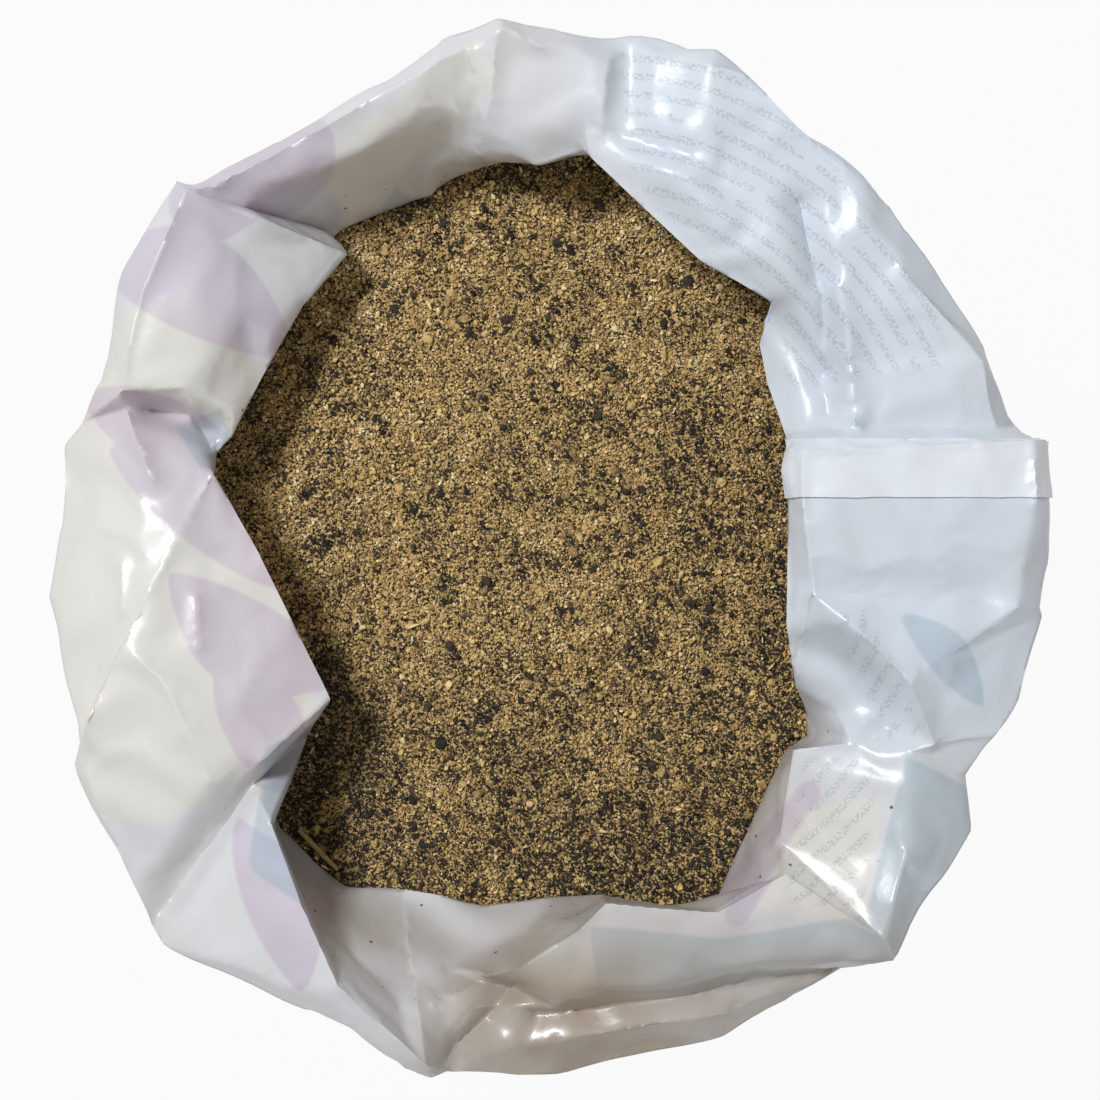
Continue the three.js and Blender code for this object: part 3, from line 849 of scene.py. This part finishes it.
def heap_mesh(film):
    """Points and triangles of the fertilizer, with an uneven top that reaches the film all round."""
    bm = bmesh.new()
    bm.from_mesh(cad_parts["fertilizer_fill"].data)
    bmesh.ops.remove_doubles(bm, verts=bm.verts, dist=MERGE)
    top = FILL_HIGH.z - HEAP_BAND
    refine(bm, lambda p: HEAP_STEP if p.z > top else HEAP_SIDE_STEP)
    for vert in bm.verts:
        if vert.co.z < top:
            vert.co = kept_inside(vert.co.copy(), film)
            continue
        uneven = UNEVEN * noise.noise(vert.co / UNEVEN_RUN)
        vert.co.z += (uneven - GRAIN_BED) * max(0, vert.normal.z)
        reach, wall = reaches(vert.co, film)
        if wall:
            room = wall - FILM_GAP
            at_edge = vert.normal.z < TOP_FACING and room - reach < EDGE_REACH
            vert.co.xy *= (room if at_edge else min(reach, room)) / reach
    points = np.array([v.co for v in bm.verts])
    bm.verts.index_update()
    faces = np.array([[v.index for v in f.verts] for f in bm.faces])
    bm.free()
    return points, faces


class BAG_OT_heap(bpy.types.Operator):
    """Heaps the fertilizer that the granules lie on"""

    bl_idname = "bag.heap"
    bl_label = "Fertilizer heap"

    def execute(self, context):
        film = tree_of(bpy.data.objects["film"])
        piece = new_piece("fertilizer_heap", *heap_mesh(film))
        piece.data.materials.append(heap_material(context.scene.bag_fill))
        select_only(piece)
        bpy.ops.object.shade_smooth()
        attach(piece, "root")
        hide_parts("fertilizer_fill")
        return {"FINISHED"}


def grain_ramp(tree, settings, tone):
    """The colours of the granulate by tone, from black to straw."""
    node = put(tree, "ShaderNodeValToRGB", {"Fac": tone})
    stops = node.color_ramp.elements
    stops[0].color = (*settings.darkest, 1)
    stops[-1].color = (*settings.pale, 1)
    for place, tint in ((0.25, settings.dark), (0.5, settings.middle), (0.75, settings.ochre)):
        stops.new(place).color = (*tint, 1)
    return node.outputs["Color"]


def heap_material(settings):
    """Fine organic granulate, matt and packed: the small grains between and below the modelled ones."""
    material, tree = new_material("organic granulate, packed")
    place = put(tree, "ShaderNodeTexCoord").outputs["Object"]
    grains = put(tree, "ShaderNodeTexVoronoi", {"Vector": place, "Scale": 1 / settings.fine, "Randomness": 1})
    tone = put(tree, "ShaderNodeSeparateColor", {"Color": grains.outputs["Color"]}).outputs[0]
    tint = grain_ramp(tree, settings, mapped(tree, tone, 0, 1, 0, 0.72))
    relief = {"Height": grains.outputs["Distance"], "Strength": 0.9, "Distance": 0.4 * MM}
    bump = put(tree, "ShaderNodeBump", relief, invert=True)
    shade(tree, {"Base Color": tint, "Roughness": 0.95, "Normal": bump.outputs[0]})
    return material


MOTTLE = 0.5 * MM  # usual size of the granules' mottles
MOTTLING = 0.3, 0.7, -0.1, 0.1  # their range, and how far they shift the tone


def granule_material(settings):
    """Pressed organic granules, dry and matt: each one has its own brown, a little mottled."""
    material, tree = new_material("organic granules")
    place = put(tree, "ShaderNodeTexCoord").outputs["Object"]
    mottle = clouds(tree, place, MOTTLE, 2)
    shift = mapped(tree, mottle, *MOTTLING)
    tone = calculate(tree, "ADD", stored(tree, "tone"), shift, use_clamp=True)
    bump = put(tree, "ShaderNodeBump", {"Height": mottle, "Strength": 0.5, "Distance": 0.2 * MM})
    tint = grain_ramp(tree, settings, tone)
    shade(tree, {"Base Color": tint, "Roughness": 0.85, "Normal": bump.outputs[0]})
    return material


def rough_shapes(draw, kinds):
    """A few lumpy shapes of width 1 from the new object: points for each kind, and their triangles."""
    ball = bpy.context.object
    points = np.array([v.co for v in ball.data.vertices])
    ball.data.calc_loop_triangles()
    faces = np.array([triangle.vertices for triangle in ball.data.loop_triangles])
    bpy.data.objects.remove(ball)
    lumpy = draw.uniform(0.7, 1.2, (kinds, len(points), 1))
    squat = draw.uniform(0.55, 1.15, (kinds, 1, 3))
    return points * lumpy * squat, faces


def turned(draw, count):
    """Random turns, as matrices."""
    return np.array([Quaternion(q).normalized().to_matrix() for q in draw.normal(size=(count, 4))])


DARK_CLUMPS, OCHRE_CLUMPS = 320, 300  # granules of one tone cling together in so many clumps
CLUMP, CLUMP_SPREAD = 1.35 * MM, 0.4  # usual radius of a clump, and its spread
SEEN_STEP = 3 * MM  # width of the cells in which the heap is seen or hidden
EYE = BAG_HIGH.z + 0.1  # the height from which they are seen
DROP = FILL_HIGH.z + 0.01  # the height from which grains are dropped


class Surface:
    """The part of the heap that shows in the mouth, where grains may lie, and the clumps that they form."""

    def __init__(self, film, heap, margin, draw):
        self.film = film
        self.heap = heap
        low, high = np.array(FILL_LOW[:2]), np.array(FILL_HIGH[:2])
        seen = np.zeros(np.ceil((high - low) / SEEN_STEP).astype(int), bool)
        for cell in np.ndindex(seen.shape):
            start = Vector((*(low + (np.array(cell) + 0.5) * SEEN_STEP), EYE))
            over = film.ray_cast(start, DOWN)
            under = heap.ray_cast(start, DOWN)
            seen[cell] = under[0] is not None and (over[0] is None or over[3] > under[3])
        for _ in range(int(margin / SEEN_STEP)):
            room = np.pad(seen, 1)
            seen = seen | room[2:, 1:-1] | room[:-2, 1:-1] | room[1:-1, 2:] | room[1:-1, :-2]
        self.cells = low + np.argwhere(seen) * SEEN_STEP
        self.clumps = [
            (self.spots(draw, count), CLUMP * np.exp(draw.normal(0, CLUMP_SPREAD, count)))
            for count in (DARK_CLUMPS, OCHRE_CLUMPS)
        ]

    def drop(self, x, y):
        """The point of the heap under a place, or None."""
        return self.heap.ray_cast(Vector((x, y, DROP)), DOWN)[0]

    def spots(self, draw, count):
        """Random places on the heap, as points, clear of the film."""
        cells = self.cells[draw.integers(len(self.cells), size=count)]
        found = []
        for x, y in cells + draw.uniform(0, SEEN_STEP, (count, 2)):
            spot = self.drop(x, y)
            if spot and not self.film.find_nearest(spot, GRAIN_ROOM)[0]:
                found.append(spot)
        return np.array(found)


HOLLOW = (-61 * MM, -68 * MM)  # the middle of the hollow on the near left, whose grains are darkened as painted shade
HOLLOW_REACH = 16 * MM
DRIFTS = ((1, 30 * MM), (0.8, 9 * MM), (1, 3.4 * MM))  # drifts of dark grains: weight and usual length
NEAR_RIGHT = (0.6, -0.8)  # the direction in which the grains darken
DARKENING = 80 * MM  # the length over which they do
LOT = 0.15, 0.85  # each grain's own chance, which these three take from
BY_DRIFT, BY_SIDE, BY_HOLLOW_SHADE = 0.45, 0.42, 0.9
BLACK_BELOW, BROWN_BELOW, PALE_ABOVE = 0.26, 0.43, 0.98  # what is left decides on one of four kinds
BLACK, BROWN, OCHRE, PALE = (0, 0.18), (0.2, 0.5), (0.48, 0.86), (0.85, 1)  # the tones of each kind
OCHRE_CLUMP, DARK_CLUMP = (0.5, 0.72), (0, 0.2)  # and of the clumps


def in_clumps(spots, clumps):
    """Which places lie in a clump, each of which is a middle and a radius."""
    inside = np.zeros(len(spots), bool)
    for middle, radius in zip(*clumps):
        inside |= np.linalg.norm(spots - middle, axis=1) < radius
    return inside


def tones(draw, spots, dark_clumps, ochre_clumps):
    """A tone for each grain: mostly ochre, with dark ones in drifts and clumps, darker ones as painted shade
    in the near-left hollow, and a few pale ones.
    """
    count = len(spots)
    drift = np.array([sum(weight * noise.noise(Vector(s) / run) for weight, run in DRIFTS) for s in spots])
    to_near_right = np.maximum(spots[:, :2] @ NEAR_RIGHT / DARKENING, 0)
    hollow_shade = np.exp(-(((spots[:, :2] - HOLLOW) / HOLLOW_REACH) ** 2).sum(1))
    # the hollow's grains are darkened as painted shade
    kind = draw.uniform(*LOT, count) - BY_DRIFT * drift - BY_SIDE * to_near_right - BY_HOLLOW_SHADE * hollow_shade
    tone = np.select(
        [kind < BLACK_BELOW, kind < BROWN_BELOW, kind > PALE_ABOVE],
        [draw.uniform(*tints, count) for tints in (BLACK, BROWN, PALE)],
        draw.uniform(*OCHRE, count),
    )
    tone = np.where(in_clumps(spots, ochre_clumps), draw.uniform(*OCHRE_CLUMP, count), tone)
    return np.where(in_clumps(spots, dark_clumps), draw.uniform(*DARK_CLUMP, count), tone)


def scatter(name, surface, draw, count, width, spread, kinds, sunk, stretch, tone_range):
    """One mesh of many grains lying on the heap, each with its own shape, size, turn and tone."""
    shapes, faces = kinds
    spots = surface.spots(draw, count)
    count = len(spots)
    grains = shapes[draw.integers(len(shapes), size=count)] * np.array(stretch)
    size = width * np.exp(draw.normal(0, spread, count))
    grains = np.einsum("nij,nkj->nki", turned(draw, count), grains) * size[:, None, None]
    grains += spots[:, None, :] + np.array([0, 0, 1]) * (size * (0.5 - sunk))[:, None, None]
    corners = shapes.shape[1]
    all_faces = (faces[None] + (np.arange(count) * corners)[:, None, None]).reshape(-1, 3)
    piece = new_piece(name, grains.reshape(-1, 3), all_faces)
    tone = draw.uniform(*tone_range, count) if tone_range else tones(draw, spots, *surface.clumps)
    store(piece, "tone", np.repeat(tone, corners))
    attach(piece, "root")
    return piece


# A stalk in the hollow, seen from above, in millimetres
STALK = ((-68.4, -76.5), (-64.9, -80), (-61.2, -83.4), (-57.5, -86.7))
STALK_WIDTH = 1.5 * MM
STALK_RISE = Vector((0, 0, 1.5 * GRAIN_BED))  # its middle lies this far above the heap
STALK_ACROSS = Vector((0.66, 0.75, 0))  # square to it
STALK_UP = Vector((0, 0, 0.7))  # it is a little flat
STALK_END = 0.7  # and its ends have this share of its width
STALK_TONE = 0.56
STALK_SIDES = 6


def stalk(surface):
    """A stalk that lies on the heap, a little bent and thinner at its ends."""
    rings = []
    for i, (x, y) in enumerate(STALK):
        middle = surface.drop(x * MM, y * MM) + STALK_RISE
        radius = STALK_WIDTH / 2 * (STALK_END if i in (0, len(STALK) - 1) else 1)
        for k in range(STALK_SIDES):
            turn = 2 * math.pi * k / STALK_SIDES
            rings.append(middle + (STALK_ACROSS * math.cos(turn) + STALK_UP * math.sin(turn)) * radius)
    faces = []
    for i in range(len(STALK) - 1):
        for k in range(STALK_SIDES):
            a, b = i * STALK_SIDES + k, i * STALK_SIDES + (k + 1) % STALK_SIDES
            faces += [(a, a + STALK_SIDES, b), (b, a + STALK_SIDES, b + STALK_SIDES)]
    last = (len(STALK) - 1) * STALK_SIDES
    for k in range(1, STALK_SIDES - 1):
        faces += [(0, k, k + 1), (last, last + k + 1, last + k)]
    piece = new_piece("stalk", rings, faces)
    store(piece, "tone", np.full(len(rings), STALK_TONE))
    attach(piece, "root")
    return piece


PLAIN = 1, 1, 1
# What is scattered: how many grains, the setting for their width and its spread, their shape, the share of
# the width that is sunk, how they are stretched, and their tones where these aren't drawn by place
SCATTERED = (
    ("granules_low", 9400, "granule", 0.28, "grain", 0.3, PLAIN, None),
    ("granules_high", 9400, "granule", 0.32, "grain", 0.0, PLAIN, None),
    ("fine_grains_low", 30000, "fine", 0.28, "splinter", -0.3, PLAIN, None),
    ("fine_grains_high", 30000, "fine", 0.28, "splinter", -0.8, PLAIN, None),
    ("lumps", 330, "lump", 0.26, "lump", 0.4, (1, 1, 0.8), (0.4, 0.62)),
    ("dark_lumps", 170, "lump", 0.3, "lump", 0.4, (1, 1, 0.8), (0.02, 0.2)),
    ("straw", 90, "lump", 0.3, "grain", 0.0, (1.6, 0.3, 0.2), (0.8, 1)),
)


class BAG_OT_granules(bpy.types.Operator):
    """Scatters granules, fine grains, lumps, straw and a stalk over the heap"""

    bl_idname = "bag.granules"
    bl_label = "Granules"

    def execute(self, context):
        settings = context.scene.bag_fill
        draw = np.random.default_rng(settings.seed)
        film, heap = (tree_of(bpy.data.objects[name]) for name in ("film", "fertilizer_heap"))
        surface = Surface(film, heap, settings.margin, draw)
        kinds = {}
        bpy.ops.mesh.primitive_ico_sphere_add(subdivisions=1, radius=0.5)
        kinds["grain"] = rough_shapes(draw, 9)
        bpy.ops.mesh.primitive_ico_sphere_add(subdivisions=2, radius=0.5)
        kinds["lump"] = rough_shapes(draw, 6)
        bpy.ops.mesh.primitive_cone_add(vertices=4, radius1=0.6, radius2=0, depth=0.7)
        kinds["splinter"] = rough_shapes(draw, 9)
        made = []
        for name, count, width, spread, kind, *rest in SCATTERED:
            width = getattr(settings, width)
            made.append(scatter(name, surface, draw, count, width, spread, kinds[kind], *rest))
        made.append(stalk(surface))
        material = granule_material(settings)
        for piece in made:
            piece.data.materials.append(material)
        return {"FINISHED"}


FLOOR_SIZE = 60
FLOOR_GLOW = 0.94  # share of plain white in the floor where it is seen
# The lights: name, place, width, and the setting for the power
LIGHTS = (
    ("key light", (-0.54, 0.44, 1.62), 0.26, "key_power"),
    ("fill light", (1.5, -1.4, 0.8), 1.0, "fill_power"),
)


def floor_material(settings):
    """Paper that is near white with a faint shadow where it is seen, and lights the bag as a grey one."""
    material, tree = new_material("white paper floor")
    seen = put(tree, "ShaderNodeLightPath").outputs
    mirrored = calculate(tree, "ADD", seen["Is Glossy Ray"], seen["Is Transmission Ray"])
    direct = calculate(tree, "ADD", seen["Is Camera Ray"], mirrored)
    share = calculate(tree, "MULTIPLY", direct, FLOOR_GLOW, use_clamp=True)
    paper = put(tree, "ShaderNodeBsdfDiffuse", {"Color": (*settings.paper, 1)}).outputs[0]
    glow = put(tree, "ShaderNodeEmission", {"Color": (1, 1, 1, 1), "Strength": 1}).outputs[0]
    mixed = put(tree, "ShaderNodeMixShader", {0: share, 1: paper, 2: glow})
    put(tree, "ShaderNodeOutputMaterial", {"Surface": mixed.outputs[0]})
    return material


class BAG_OT_stage(bpy.types.Operator):
    """Sets the floor, the lights and the camera"""

    bl_idname = "bag.stage"
    bl_label = "Stage"

    def execute(self, context):
        settings = context.scene.bag_stage
        scene = context.scene
        scene.view_settings.view_transform = "Standard"
        bpy.ops.mesh.primitive_plane_add(size=FLOOR_SIZE, location=(0, 0, 0))
        floor = context.object
        floor.name = "floor"
        floor.data.materials.append(floor_material(settings))
        world = bpy.data.worlds.new("studio")
        scene.world = world
        world.use_nodes = True
        world.node_tree.nodes.clear()
        even = {"Color": (*settings.sky_tint, 1), "Strength": settings.sky}
        sky = put(world.node_tree, "ShaderNodeBackground", even)
        put(world.node_tree, "ShaderNodeOutputWorld", {"Surface": sky.outputs[0]})
        target = Vector((0, 0, BAG_HIGH.z))
        for name, place, size, energy in LIGHTS:
            bpy.ops.object.light_add(type="AREA", location=place)
            lamp = context.object
            lamp.name = name
            lamp.data.size = size
            lamp.data.energy = getattr(settings, energy)
            lamp.data.color = settings.lamp_tint
            lamp.rotation_euler = (target - Vector(place)).to_track_quat("-Z", "Y").to_euler()
        bpy.ops.object.camera_add(location=(0, 0, settings.camera_height), rotation=(0, 0, 0))
        camera = context.object
        camera.data.lens = settings.lens
        scene.camera = camera
        return {"FINISHED"}


class BAG_PT_build(bpy.types.Panel):
    """Lists the build steps and their settings"""

    bl_idname = "BAG_PT_build"
    bl_label = "Fertilizer bag"
    bl_space_type = "VIEW_3D"
    bl_region_type = "UI"
    bl_category = "Bag"

    def draw(self, context):
        for group in (context.scene.bag_film, context.scene.bag_fill, context.scene.bag_stage):
            for name in group.bl_rna.properties.keys():
                if name not in ("rna_type", "name"):
                    self.layout.prop(group, name)
        for operator in OPERATORS:
            self.layout.operator(operator.bl_idname)


OPERATORS = (BAG_OT_film, BAG_OT_weld_strip, BAG_OT_heap, BAG_OT_granules, BAG_OT_stage)
CLASSES = (FilmSettings, FillSettings, StageSettings, *OPERATORS, BAG_PT_build)


def register():
    for kind in CLASSES:
        bpy.utils.register_class(kind)
    bpy.types.Scene.bag_film = bpy.props.PointerProperty(type=FilmSettings)
    bpy.types.Scene.bag_fill = bpy.props.PointerProperty(type=FillSettings)
    bpy.types.Scene.bag_stage = bpy.props.PointerProperty(type=StageSettings)


def unregister():
    del bpy.types.Scene.bag_stage
    del bpy.types.Scene.bag_fill
    del bpy.types.Scene.bag_film
    for kind in reversed(CLASSES):
        bpy.utils.unregister_class(kind)


def main():
    register()
    bpy.ops.bag.film()
    bpy.ops.bag.weld_strip()
    bpy.ops.bag.heap()
    bpy.ops.bag.granules()
    bpy.ops.bag.stage()


if __name__ == "__main__":
    main()
